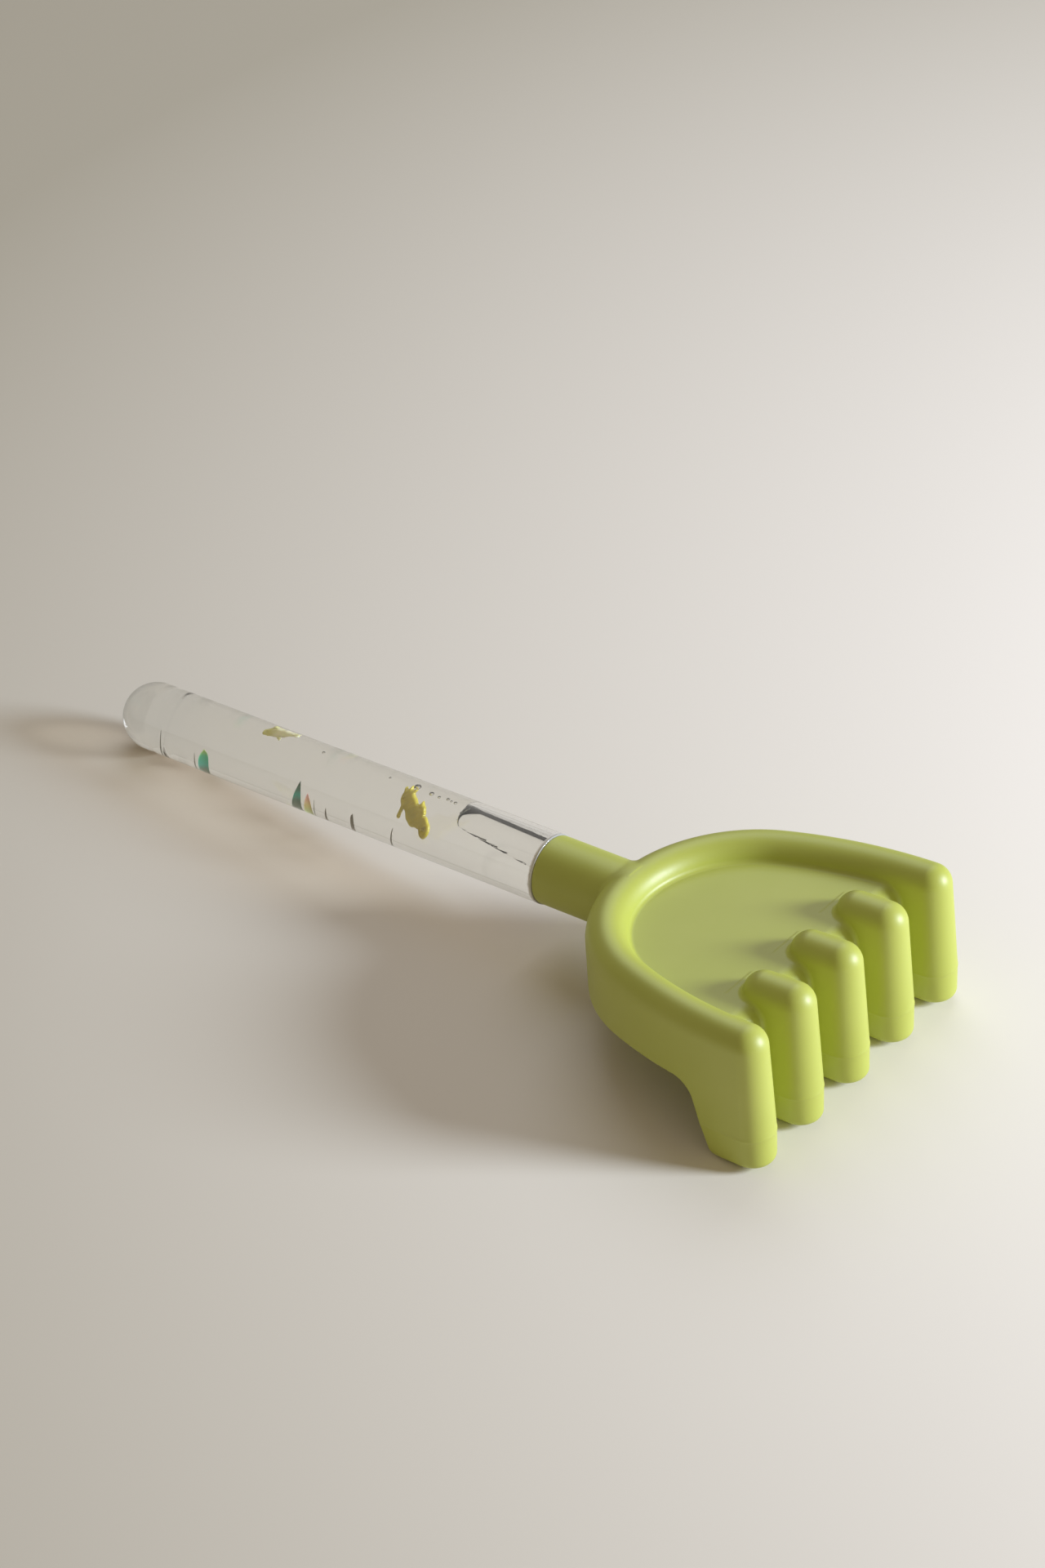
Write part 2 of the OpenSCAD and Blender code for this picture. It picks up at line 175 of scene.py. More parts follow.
def to_frame(points):
    """Points of the level model in mm, to the frame in metres."""
    return (np.asarray(points, float) @ AT_REST.T + SHIFT) * MM


def handle_to_frame(points):
    """Points given as up, side and away along the handle in mm, to the frame in metres."""
    p = np.asarray(points, float)
    return to_frame(HANDLE_START + p[:, :1] * HANDLE_UP + p[:, 1:2] * HANDLE_SIDE
                    + p[:, 2:3] * HANDLE_AWAY)


def charm_to_handle(points, rise, place, lean, turn):
    """Points of a charm drawn across, up and through, to up, side and away along the handle."""
    across, up, through = np.asarray(points, float).T
    raised = up * math.cos(lean) + across * math.sin(lean) + rise
    along = up * math.sin(lean) - across * math.cos(lean) + place
    return np.stack([raised * math.cos(turn) + through * math.sin(turn),
                     raised * math.sin(turn) - through * math.cos(turn), along], 1)


# Distance fields, in mm, negative inside
def round_and(a, b, r):
    """Inside both, with the outer corner rounded to r."""
    return np.minimum(np.maximum(a, b) + r, 0) + np.hypot(np.maximum(a + r, 0), np.maximum(b + r, 0)) - r


def round_or(a, b, r):
    """Inside either, with the inner corner filleted to r."""
    return np.maximum(np.minimum(a, b) - r, 0) - np.hypot(np.maximum(r - a, 0), np.maximum(r - b, 0)) + r


def ridge(offset, height, width):
    """Small smooth ridge round offset zero."""
    return height * np.exp(-(offset / width) ** 2)


def profile(d, z):
    """The cross-section that the rim, the ridges and the tines share."""
    upper = (d - RIM_R / math.cos(DRAFT_UP) - (FLOOR_H - z) * math.tan(DRAFT_UP)) * math.cos(DRAFT_UP)
    lower = (d - PART_R + (PARTING_H - z) * math.tan(DRAFT_DOWN)) * math.cos(DRAFT_DOWN)
    flank = np.maximum(upper, lower) - ridge(z - PARTING_H, PARTING_RIDGE, PARTING_RIDGE_W)
    sides = np.where(z > FLOOR_H, np.hypot(d, z - FLOOR_H) - RIM_R, flank)
    return round_and(sides, -z, FOOT_FILLET)


def rim_distance(x, y):
    """Plan distance outwards from the rim's centre line, and the same past the ends of its arms."""
    ay = np.abs(y)
    angle = np.arctan2(ay, BACK_X - x)
    back = np.hypot(x - BACK_X, ay) - BACK_R
    side = np.hypot(x - FRONT_X, ay - HALF_WIDTH + SIDE_R) - SIDE_R
    line = np.where(angle < BACK_SWEEP, back, side)
    past = np.hypot(x - FRONT_X, ay - HALF_WIDTH)
    return line, np.where(x > FRONT_X, past, np.abs(line))


def back_of_tines(x, z):
    """Distance behind the sloped back of the tines, rounded at the heel."""
    slope = -(x - HEEL_X) * math.cos(BACK_SLOPE) - z * math.sin(BACK_SLOPE)
    return round_and(slope, -z, HEEL_R)


def neck_distance(radial, s, rim):
    """The round neck, with a fine bead where it meets the rim."""
    bead = ridge(rim - NECK_BEAD_W, NECK_BEAD, NECK_BEAD_W)
    neck = round_and(radial - NECK_R - bead, s, NECK_EDGE_R)
    return np.maximum(neck, -s - RIM_REAR_X)


def head_distance(p):
    """The moulded head: rim, tray, skirt, neck and tines as one shell."""
    x, y, z = p[:, 0], p[:, 1], p[:, 2]
    line, d = rim_distance(x, y)
    rim = profile(d, z)
    tine_back = back_of_tines(x, z)
    skirt = round_or(SKIRT_H - z, tine_back, SKIRT_FILLET)
    tray_side = round_and(x - LIP_X, z - FLOOR_H, LIP_R)
    body = round_or(rim, np.maximum(line, tray_side), FLOOR_FILLET)
    q = p - HANDLE_START
    s = q @ HANDLE_AWAY
    radial = np.hypot(q @ HANDLE_UP, q @ HANDLE_SIDE)
    body = round_or(body, neck_distance(radial, s, rim), NECK_FILLET)
    cavity = np.minimum(rim + WALL, np.maximum(line, tray_side + WALL))
    shell = round_and(round_and(body, skirt, EDGE_R), -cavity, EDGE_R)

    floor_mid = FLOOR_H - WALL / 2
    tine_mask = np.maximum(np.maximum(SKIRT_BACK_X - x, tine_back), z - floor_mid)
    outer = round_and(rim, tine_mask, EDGE_R)
    whole = np.minimum(shell, outer)
    hollow = rim + WALL
    for yc in INNER_TINES:
        off = np.abs(y - yc)
        slab = profile(np.hypot(np.maximum(x - FRONT_X, 0), off), z)
        post = profile(np.hypot(np.maximum(np.maximum(x - FRONT_X, RIDGE_X - x), 0), off), z)
        below = round_and(slab, tine_mask, EDGE_R)
        above = np.maximum(post, floor_mid - EDGE_R - z)
        whole = round_or(whole, np.minimum(below, above), RIDGE_FILLET)
        low = np.maximum(slab + WALL, np.where(x < RIDGE_X, z - FLOOR_H + WALL, -FLOOR_H))
        low = np.maximum(low, SKIRT_BACK_X - TROUGH_OVERRUN - x)
        hollow = np.minimum(hollow, np.minimum(low, np.maximum(post + WALL, floor_mid - WALL - z)))
    whole = round_and(whole, -hollow, EDGE_R)
    bore = np.maximum(radial - STEM_R, -s - STEM_LEN)
    return np.maximum(whole, -bore)


def liquid_distance(p):
    """The liquid, a film's width into the walls, less the air above its level surface."""
    up, side, s = p[:, 0], p[:, 1], p[:, 2]
    radial = np.hypot(up, side)
    tube = np.where(s > DOME_S, np.hypot(radial, s - DOME_S), radial) - BORE_R
    body = np.maximum(tube - FILM, PLUG_END - FILM - s)
    above = (up - LEVEL_UP) * math.cos(SLOPE) - (s - PLUG_END) * math.sin(SLOPE)
    pocket = round_and(-above, s - POCKET_END, POCKET_R)
    meniscus = MENISCUS_FAR + (MENISCUS_NEAR - MENISCUS_FAR) * np.clip(0.5 - side / BORE_R, 0, 1)
    air = round_and(round_and(pocket, tube - 2 * FILM, meniscus), PLUG_END - 2 * FILM - s, MENISCUS_FAR)
    return np.maximum(body, -air)


def taper(p, a, b):
    """A limb between two discs given as across, up and radius."""
    a, b = np.array(a), np.array(b)
    run = b[:2] - a[:2]
    t = np.clip(((p - a[:2]) @ run) / (run @ run), 0, 1)
    return np.hypot(*(p - a[:2] - t[:, None] * run).T) - a[2] - t * (b[2] - a[2])


def chain(p, discs, size, blend):
    """Limbs through a row of discs, given as shares of a size."""
    discs = np.array(discs) * size
    d = taper(p, discs[0], discs[1])
    for a, b in zip(discs[1:], discs[2:]):
        d = round_or(d, taper(p, a, b), blend)
    return d


SEAHORSE_LIMBS = (
    ((-0.083, 0.365, 0.141), (-0.041, 0.166, 0.13), (-0.046, 0.046, 0.145), (-0.026, -0.049, 0.145),
     (0.044, -0.186, 0.105), (0.104, -0.283, 0.107), (0.096, -0.386, 0.131)),
    ((-0.166, 0.301, 0.055), (-0.261, 0.246, 0.032), (-0.32, 0.206, 0.042)),
    ((-0.02, 0.431, 0.04), (0.035, 0.49, 0.024)),
    ((-0.09, 0.49, 0.035), (-0.075, 0.55, 0.024)),
    ((0.044, 0.371, 0.04), (0.11, 0.37, 0.024)),
    ((0.074, 0.041, 0.05), (0.164, 0.011, 0.042), (0.178, -0.069, 0.045), (0.164, -0.139, 0.042),
     (0.094, -0.179, 0.05)),
    ((0.05, -0.04, 0.05), (0.13, -0.07, 0.05)),
    ((0.164, 0.011, 0.036), (0.196, 0.056, 0.02)),
)
SEAHORSE_PRICKS = ((-0.14, 0.39, 0.024), (0.115, -0.4, 0.028), (0.07, -0.36, 0.018))
FISH_LIMBS = (
    ((-0.45, -0.01, 0.06), (-0.33, 0, 0.085), (-0.12, 0.01, 0.115), (0.1, 0, 0.105), (0.3, 0, 0.06)),
    ((0.3, 0, 0.05), (0.47, 0.03, 0.03)),
    ((0.3, 0, 0.05), (0.46, -0.05, 0.025)),
    ((-0.3, 0.08, 0.03), (-0.24, 0.17, 0.022), (-0.14, 0.12, 0.02)),
    ((-0.05, -0.1, 0.03), (0.02, -0.16, 0.018)),
)
FISH_PRICKS = ((-0.39, 0.02, 0.022),)


def charm_distance(p, limbs, pricks, size, ring_depth=0.0):
    """A flat charm with rounded edges, pricked marks and, where it has them, shallow rings."""
    flat = p[:, :2]
    d = chain(flat, limbs[0], size, BODY_BLEND * size)
    for limb in limbs[1:]:
        d = round_or(d, chain(flat, limb, size, LIMB_BLEND * size), BODY_BLEND * size)
    rings = ring_depth * (1 - np.cos(2 * math.pi * p[:, 1] / RING_PITCH)) / 2 * np.clip(-d, 0, 1)
    body = round_and(d, np.abs(p[:, 2]) - FIGURE_T / 2 + rings, EDGE_SHARE * FIGURE_T)
    for across, up, r in pricks:
        hole = np.hypot(flat[:, 0] - across * size, flat[:, 1] - up * size) - r * size
        body = round_and(body, -np.maximum(hole, FIGURE_T / 3 - np.abs(p[:, 2])), PRICK_EDGE_R)
    return body


def seahorse_distance(p):
    return charm_distance(p, SEAHORSE_LIMBS, SEAHORSE_PRICKS, SEAHORSE_H, RING_DEPTH)


def fish_distance(p):
    return charm_distance(p, FISH_LIMBS, FISH_PRICKS, FISH_LEN)


# From distance fields and outlines to meshes
CORNERS = np.array([(i, j, k) for i in (0, 1) for j in (0, 1) for k in (0, 1)])
EDGES = [(a, b) for a in range(8) for b in range(a + 1, 8) if np.abs(CORNERS[a] - CORNERS[b]).sum() == 1]
# Cells along a block, blocks worked out at a time, and the value that stands for far from the surface
BLOCK = 8
BATCH = 400
FAR = 9.0
# Radius that counts as on the axis, distance at which points are one, and the least length to divide by
ON_AXIS = 1e-6
SAME_PLACE = 1e-7
TINY = 1e-9


def gradient(distance, p, h=0.03):
    """Unit gradient of a distance field at points."""
    steps = np.eye(3) * h
    g = np.stack([distance(p + step) - distance(p - step) for step in steps], 1)
    return g / np.maximum(np.linalg.norm(g, axis=1, keepdims=True), TINY)


def sample_blocks(distance, low, high, step):
    """Field values on a grid, worked out only in the blocks that the surface may pass through."""
    size = step * BLOCK
    counts = np.ceil((high - low) / size).astype(int)
    blocks = np.stack(np.meshgrid(*[np.arange(n) for n in counts], indexing="ij"), -1).reshape(-1, 3)
    middle = distance(low + (blocks + 0.5) * size)
    coarse = np.where(middle < 0, -FAR, FAR).reshape(counts)
    for axis in range(3):
        coarse = np.repeat(coarse, BLOCK, axis)
    values = np.pad(coarse, ((0, 1),) * 3, mode="edge")
    local = np.stack(np.meshgrid(*[np.arange(BLOCK + 1)] * 3, indexing="ij"), -1).reshape(-1, 3)
    near = blocks[np.abs(middle) < size * math.sqrt(3)]
    for first in range(0, len(near), BATCH):
        ijk = (near[first:first + BATCH, None, :] * BLOCK + local).reshape(-1, 3)
        values[ijk[:, 0], ijk[:, 1], ijk[:, 2]] = distance(low + ijk * step)
    return values


def cell_points(values, cells):
    """Mean of the places where the surface crosses each cell's edges, in cells."""
    corner_values = np.stack([values[tuple((cells + c).T)] for c in CORNERS], 1).astype(float)
    total, weight = np.zeros((len(cells), 3)), np.zeros(len(cells))
    for a, b in EDGES:
        va, vb = corner_values[:, a], corner_values[:, b]
        cross = (va < 0) != (vb < 0)
        t = np.where(cross, va / np.where(cross, va - vb, 1), 0)[:, None]
        total += np.where(cross[:, None], CORNERS[a] + t * (CORNERS[b] - CORNERS[a]), 0)
        weight += cross
    return cells + total / weight[:, None]


def surface_net(distance, low, high, step):
    """Points and quads of the zero surface, with the points moved onto it."""
    low, high = np.asarray(low, float), np.asarray(high, float)
    values = sample_blocks(distance, low, high, step)
    shape = np.array(values.shape)
    inside = values < 0
    count = np.zeros(shape - 1, np.int8)
    for c in CORNERS:
        count += inside[c[0]:shape[0] - 1 + c[0], c[1]:shape[1] - 1 + c[1], c[2]:shape[2] - 1 + c[2]]
    cells = np.argwhere((count > 0) & (count < 8))
    points = low + cell_points(values, cells) * step
    for _ in range(3):
        move = np.clip(distance(points), -0.5 * step, 0.5 * step)[:, None]
        points -= move * gradient(distance, points)
    number = np.full(shape - 1, -1, np.int64)
    number[tuple(cells.T)] = np.arange(len(cells))
    quads = [axis_quads(inside, number, axis) for axis in range(3)]
    quads = np.concatenate(quads)
    return points, quads[(quads >= 0).all(1)]


def axis_quads(inside, number, axis):
    """Quads across the grid edges along one axis where the surface passes."""
    shape = inside.shape
    u, v = (axis + 1) % 3, (axis + 2) % 3
    near, far = [slice(None)] * 3, [slice(None)] * 3
    near[axis], far[axis] = slice(0, shape[axis] - 1), slice(1, shape[axis])
    at = np.argwhere(inside[tuple(near)] != inside[tuple(far)])
    at = at[(at[:, u] > 0) & (at[:, v] > 0) & (at[:, u] < shape[u] - 1) & (at[:, v] < shape[v] - 1)]
    du, dv = np.eye(3, dtype=int)[u], np.eye(3, dtype=int)[v]
    quad = np.stack([number[tuple((at - back).T)] for back in (du + dv, dv, du * 0, du)], 1)
    flip = ~inside[tuple(at.T)]
    quad[flip] = quad[flip][:, ::-1]
    return quad


def link_mesh(name, mesh):
    obj = bpy.data.objects.new(name, mesh)
    bpy.context.scene.collection.objects.link(obj)
    return obj


def field_object(name, distance, low, high, step, place):
    """A smooth-shaded object from a distance field, whose normals come from the field itself."""
    points, quads = surface_net(distance, low, high, step)
    mesh = bpy.data.meshes.new(name)
    mesh.vertices.add(len(points))
    mesh.vertices.foreach_set("co", place(points).astype(np.float32).ravel())
    mesh.loops.add(quads.size)
    mesh.loops.foreach_set("vertex_index", quads.ravel().astype(np.int32))
    mesh.polygons.add(len(quads))
    mesh.polygons.foreach_set("loop_start", np.arange(0, quads.size, 4, dtype=np.int32))
    mesh.update(calc_edges=True)
    mesh.validate()
    mesh.shade_smooth()
    ahead = place(points + gradient(distance, points)) - place(points)
    normals = ahead / np.linalg.norm(ahead, axis=1, keepdims=True)
    mesh.normals_split_custom_set_from_vertices(normals.tolist())
    return link_mesh(name, mesh)


def plain_object(name, points, faces):
    """A smooth object in the handle's own directions, with crisp corners and faces turned outwards."""
    mesh = bpy.data.meshes.new(name)
    mesh.from_pydata(handle_to_frame(points).tolist(), [], faces)
    bm = bmesh.new()
    bm.from_mesh(mesh)
    bmesh.ops.recalc_face_normals(bm, faces=bm.faces)
    bm.to_mesh(mesh)
    bm.free()
    mesh.shade_smooth()
    mesh.set_sharp_from_angle(angle=CRISP_CORNER)
    return link_mesh(name, mesh)


def section_normals(section):
    """For each edge of an anticlockwise section, the outward normals at its start and at its end.

    Soft corners blend, with long edges counting most; on the axis the normal points straight along it.
    """
    edges = np.roll(section, -1, 0) - section
    length = np.linalg.norm(edges, axis=1, keepdims=True)
    outward = np.stack([edges[:, 1], -edges[:, 0]], 1) / np.maximum(length, TINY)
    before = np.roll(outward, 1, 0)
    blend = outward * length ** 2 + before * np.roll(length, 1, 0) ** 2
    blend /= np.maximum(np.linalg.norm(blend, axis=1, keepdims=True), TINY)
    smooth = ((outward * before).sum(1) > math.cos(SMOOTH_CORNER))[:, None]
    axis = (section[:, 0] < ON_AXIS)[:, None]
    level = np.array([0, 1]) * np.sign(blend[:, 1:])
    start = np.where(axis, level, np.where(smooth, blend, outward))
    end = np.where(axis, level, np.where(smooth, blend, before))
    return start, np.roll(end, -1, 0)


def revolve(name, outline, steps=96, open_at=()):
    """A round piece of the handle from (radius, along) points round its section, or from axis to axis.

    The flat faces at the places in open_at are left out, so that the piece runs on into its neighbour.
    """
    section = np.array(outline)
    r, s = section.T
    if (r * np.roll(s, -1) - s * np.roll(r, -1)).sum() < 0:
        section = section[::-1]
    count = len(section)
    turns = np.arange(steps) * 2 * math.pi / steps
    around = np.stack([np.cos(turns), np.sin(turns)], 1)
    points = [(*(r * way), s) for r, s in section for way in around]
    start, end = section_normals(section)
    faces, normals = [], []
    for i in range(count):
        k = (i + 1) % count
        axis = max(section[i, 0], section[k, 0]) < ON_AXIS
        if axis or (section[i, 1] == section[k, 1] and section[i, 1] in open_at):
            continue
        for j in range(steps):
            n = (j + 1) % steps
            corners = [(i, j, start[i]), (i, n, start[i]), (k, n, end[i]), (k, j, end[i])]
            if section[i, 0] < ON_AXIS:
                corners.pop(1)
            if section[k, 0] < ON_AXIS:
                corners.pop()
            faces.append([a * steps + (b if section[a, 0] > ON_AXIS else 0) for a, b, _ in corners])
            normals += [(*(normal[0] * around[b]), normal[1]) for _, b, normal in corners]
    used, index = np.unique(np.concatenate(faces), return_inverse=True)
    ends = np.cumsum([len(face) for face in faces])[:-1]
    mesh = bpy.data.meshes.new(name)
    places = handle_to_frame(np.array(points)[used]).tolist()
    mesh.from_pydata(places, [], [face.tolist() for face in np.split(index, ends)])
    mesh.shade_smooth()
    normals = handle_to_frame(normals) - handle_to_frame(np.zeros((1, 3)))
    mesh.normals_split_custom_set((normals / MM).tolist())
    return link_mesh(name, mesh)


def arc(cx, cy, r, start, end, steps):
    """Points of an arc, angles in degrees."""
    return [(cx + r * math.cos(math.radians(a)), cy + r * math.sin(math.radians(a)))
            for a in np.linspace(start, end, steps + 1)]


# Pieces
def make_head():
    return field_object("rake_head_moulding", head_distance, *HEAD_ROOM, HEAD_STEP, to_frame)


def dent(side):
    """Half of the soft groove at the seam; side is -1 for the tube's half and 1 for the cap's."""
    steps = np.linspace(0, 1, 9)
    return [(TUBE_R - SEAM_DEPTH * (1 - math.cos(math.pi * t)) / 2, SEAM_S + side * SEAM_HALF * (1 - t))
            for t in steps]


def make_tube():
    """The tube, open at both ends so that its wall runs on into the plug's collar and the cap."""
    outline = [(BORE_R, SEAM_S), (BORE_R, COLLAR_T), (TUBE_R, COLLAR_T)] + dent(-1)
    return revolve("clear_tube", outline, open_at=(COLLAR_T, SEAM_S))


def make_cap():
    outline = (dent(1)[::-1] + arc(0, DOME_S, TUBE_R, 0, 90, 32)[:-1] + [(0.0, DOME_S + TUBE_R)]
               + [(0.0, DOME_S + BORE_R)] + arc(0, DOME_S, BORE_R, 90, 0, 28)[1:] + [(BORE_R, SEAM_S)])
    return revolve("clear_end_cap", outline, open_at=(SEAM_S,))


def make_plug():
    """Stem, collar and the face that closes the bore, open where the collar meets the tube's wall."""
    ring = BORE_R + FILM
    stem_edge = arc(STEM_R - PLUG_STEM_EDGE_R, -STEM_LEN + PLUG_STEM_EDGE_R, PLUG_STEM_EDGE_R, -90, 0, 4)
    collar_edge = arc(TUBE_R - PLUG_COLLAR_EDGE_R, PLUG_COLLAR_EDGE_R, PLUG_COLLAR_EDGE_R, -90, 0, 5)
    outline = ([(0, -STEM_LEN)] + stem_edge + [(STEM_R, 0.0)] + collar_edge
               + [(TUBE_R, COLLAR_T), (ring, COLLAR_T), (ring, PLUG_END), (0, PLUG_END)])
    return revolve("clear_plug", outline, open_at=(COLLAR_T,))


def make_liquid():
    reach = BORE_R + 1
    return field_object("clear_liquid_fill", liquid_distance, (-reach, -reach, PLUG_END - 1),
                        (reach, reach, DOME_S + reach), LIQUID_STEP, handle_to_frame)


def make_charm(name, distance, size, rise, place, lean, turn):
    """A charm in the tube: rise and place in mm, lean and turn about the axis in degrees."""
    half = ROOM_SHARE * size
    low, high = (-half, -half, -FIGURE_T), (half, half, FIGURE_T)

    def seated(points):
        turned = charm_to_handle(points, rise, place, math.radians(lean), math.radians(turn))
        return handle_to_frame(turned)
    return field_object(name, distance, low, high, CHARM_STEP, seated)


def make_sequin(name, spot):
    """A thin foil flake that stands on the bottom of the bore, curved and pointed or forked."""
    rows, columns = 10, 6
    turn = math.radians(spot["turn"])
    foot = spot.get("foot", -BORE_R) + SEQUIN_SEAT
    points = []
    for skin in (-1, 1):
        for i in range(rows + 1):
            h = i / rows
            half = spot["w"] / 2 * (1 - h ** spot.get("taper", 2.0)) + LEAST_HALF
            for j in range(columns + 1):
                across = 2 * j / columns - 1
                up = spot["h"] * h * (1 - spot.get("fork", 0) * (1 - abs(across)) * h)
                w = half * across + spot.get("lean", 0) * h
                t = spot.get("bend", 0) * h ** 2 + HOLLOW * half * across ** 2 + skin * FOIL_HALF
                side = w * math.sin(turn) - t * math.cos(turn)
                along = -w * math.cos(turn) - t * math.sin(turn)
                points.append((foot + up, side, spot["at"] * TUBE_LEN + along))
    wide, count = columns + 1, (rows + 1) * (columns + 1)
    faces = [(a, a + 1, a + wide + 1, a + wide)
             for i in range(rows) for a in range(i * wide, i * wide + columns)]
    faces += [tuple(k + count for k in face) for face in faces]
    rim = list(range(wide)) + [i * wide + columns for i in range(1, rows + 1)]
    rim += list(range(rows * wide + columns - 1, rows * wide - 1, -1))
    rim += [i * wide for i in range(rows - 1, 0, -1)]
    faces += [(a, b, b + count, a + count) for a, b in zip(rim, rim[1:] + rim[:1])]
    return plain_object(name, points, faces)


def make_bubbles(bubbles):
    """Small air bubbles under the top of the bore: spheres whose outside is the liquid."""
    points, faces = [], []
    rings, sides = 10, 20
    for s, r, across in bubbles:
        up = math.sqrt((BORE_R - r - BUBBLE_GAP) ** 2 - across ** 2)
        first = len(points)
        for i in range(rings + 1):
            a = math.pi * i / rings
            for j in range(sides):
                b = 2 * math.pi * j / sides
                points.append((up + r * math.cos(a), across + r * math.sin(a) * math.cos(b),
                               s + BUBBLE_STRETCH * r * math.sin(a) * math.sin(b)))
        for i in range(rings):
            for j in range(sides):
                k = (j + 1) % sides
                faces.append((first + i * sides + j, first + i * sides + k,
                              first + (i + 1) * sides + k, first + (i + 1) * sides + j))
    obj = plain_object("air_bubbles", points, faces)
    bm = bmesh.new()
    bm.from_mesh(obj.data)
    bmesh.ops.remove_doubles(bm, verts=bm.verts, dist=SAME_PLACE)
    bmesh.ops.recalc_face_normals(bm, faces=bm.faces)
    bmesh.ops.reverse_faces(bm, faces=bm.faces)
    bm.to_mesh(obj.data)
    bm.free()
    obj.data.shade_smooth()
    return obj


# Materials
def material(name):
    mat = bpy.data.materials.new(name)
    mat.use_nodes = True
    nodes = mat.node_tree.nodes
    shader = next(n for n in nodes if n.type == "BSDF_PRINCIPLED")
    return mat, nodes, mat.node_tree.links, shader


def set_inputs(node, values):
    for name, value in values.items():
        node.inputs[name].default_value = value


def noise(nodes, links, coords, scale, detail):
    texture = nodes.new("ShaderNodeTexNoise")
    set_inputs(texture, {"Scale": scale, "Detail": detail})
    links.new(coords.outputs["Object"], texture.inputs["Vector"])
    return texture


def ramp(nodes, links, value, stops):
    node = nodes.new("ShaderNodeValToRGB")
    elements = node.color_ramp.elements
    while len(elements) < len(stops):
        elements.new(0.5)
    for element, (position, colour) in zip(elements, stops):
        element.position = position
        element.color = (*colour, 1)
    links.new(value, node.inputs["Fac"])
    return node


def green_plastic():
    """Satin moulded plastic, faintly clouded, with a fine moulded grain."""
    mat, nodes, links, shader = material("satin_green_plastic")
    coords = nodes.new("ShaderNodeTexCoord")
    cloud = noise(nodes, links, coords, scale=35, detail=3)
    tint = ramp(nodes, links, cloud.outputs["Fac"], [(0.35, GREEN_LOW), (0.7, GREEN_HIGH)])
    links.new(tint.outputs["Color"], shader.inputs["Base Color"])
    grain = noise(nodes, links, coords, scale=900, detail=2)
    rough = nodes.new("ShaderNodeMapRange")
    set_inputs(rough, {"To Min": 0.42, "To Max": 0.5})
    links.new(grain.outputs["Fac"], rough.inputs["Value"])
    links.new(rough.outputs["Result"], shader.inputs["Roughness"])
    bump = nodes.new("ShaderNodeBump")
    set_inputs(bump, {"Strength": 0.05, "Distance": 0.0002})
    links.new(grain.outputs["Fac"], bump.inputs["Height"])
    links.new(bump.outputs["Normal"], shader.inputs["Normal"])
    set_inputs(shader, {"Specular IOR Level": 0.7, "Subsurface Weight": 0.1,
                        "Subsurface Radius": (1.0, 0.9, 0.25), "Subsurface Scale": 0.002})
    return mat


def clear(name, ior, colour, edge_shade, mid_shade=(1, 0.99, 0.975), edge_start=0.45, milk=0.0):
    """Glass-like filling or wall that casts a light shadow, darker where the light grazes it.

    Shadow and diffuse rays go straight through, tinted mid_shade where the surface faces them, up to
    edge_start, and edge_shade where they graze it; milk clouds the body itself.
    """
    mat, nodes, links, shader = material(name)
    set_inputs(shader, {"Base Color": (*colour, 1), "Transmission Weight": 1 - milk,
                        "IOR": ior, "Roughness": 0})
    path = nodes.new("ShaderNodeLightPath")
    through = nodes.new("ShaderNodeMath")
    through.operation = "MAXIMUM"
    links.new(path.outputs["Is Shadow Ray"], through.inputs[0])
    links.new(path.outputs["Is Diffuse Ray"], through.inputs[1])
    facing = nodes.new("ShaderNodeLayerWeight")
    shade = ramp(nodes, links, facing.outputs["Facing"], [(edge_start, mid_shade), (0.9, edge_shade)])
    straight = nodes.new("ShaderNodeBsdfTransparent")
    links.new(shade.outputs["Color"], straight.inputs["Color"])
    mix = nodes.new("ShaderNodeMixShader")
    links.new(through.outputs["Value"], mix.inputs["Fac"])
    links.new(shader.outputs["BSDF"], mix.inputs[1])
    links.new(straight.outputs["BSDF"], mix.inputs[2])
    output = next(n for n in nodes if n.type == "OUTPUT_MATERIAL")
    links.new(mix.outputs["Shader"], output.inputs["Surface"])
    return mat


def charm_plastic(name, low, high, rough, head=None):
    """Opaque or milky plastic, patchy between two colours, with a head of its own colour if given."""
    mat, nodes, links, shader = material(name)
    coords = nodes.new("ShaderNodeTexCoord")
    patch = noise(nodes, links, coords, scale=420, detail=2)
    tint = ramp(nodes, links, patch.outputs["Fac"], [(0.35, low), (0.65, high)])
    links.new(tint.outputs["Color"], shader.inputs["Base Color"])
    if head:
        split = nodes.new("ShaderNodeSeparateXYZ")
        links.new(coords.outputs["Generated"], split.inputs["Vector"])
        share = nodes.new("ShaderNodeMapRange")
        set_inputs(share, {"From Min": 0.22, "From Max": 0.4})
        links.new(split.outputs["X"], share.inputs["Value"])
        mix = nodes.new("ShaderNodeMix")
        mix.data_type = "RGBA"
        mix.inputs["A"].default_value = (*head, 1)
        links.new(share.outputs["Result"], mix.inputs["Factor"])
        links.new(tint.outputs["Color"], mix.inputs["B"])
        links.new(mix.outputs["Result"], shader.inputs["Base Color"])
    set_inputs(shader, {"Roughness": rough, "Subsurface Weight": 0.5,
                        "Subsurface Radius": (1.0, 0.9, 0.3), "Subsurface Scale": 0.0025})
    return mat


def foil(name, stops):
    """Iridescent foil that changes colour from its foot to its tip."""
    mat, nodes, links, shader = material(name)
    coords = nodes.new("ShaderNodeTexCoord")
    split = nodes.new("ShaderNodeSeparateXYZ")
    links.new(coords.outputs["Generated"], split.inputs["Vector"])
    tint = ramp(nodes, links, split.outputs["Z"], stops)
    links.new(tint.outputs["Color"], shader.inputs["Base Color"])
    set_inputs(shader, {"Metallic": 0.35, "Roughness": 0.35})
    return mat


def put(obj, mat, body, slot, *replaced):
    obj.data.materials.clear()
    obj.data.materials.append(mat)
    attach(obj, body)
    if replaced:
        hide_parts(*replaced)


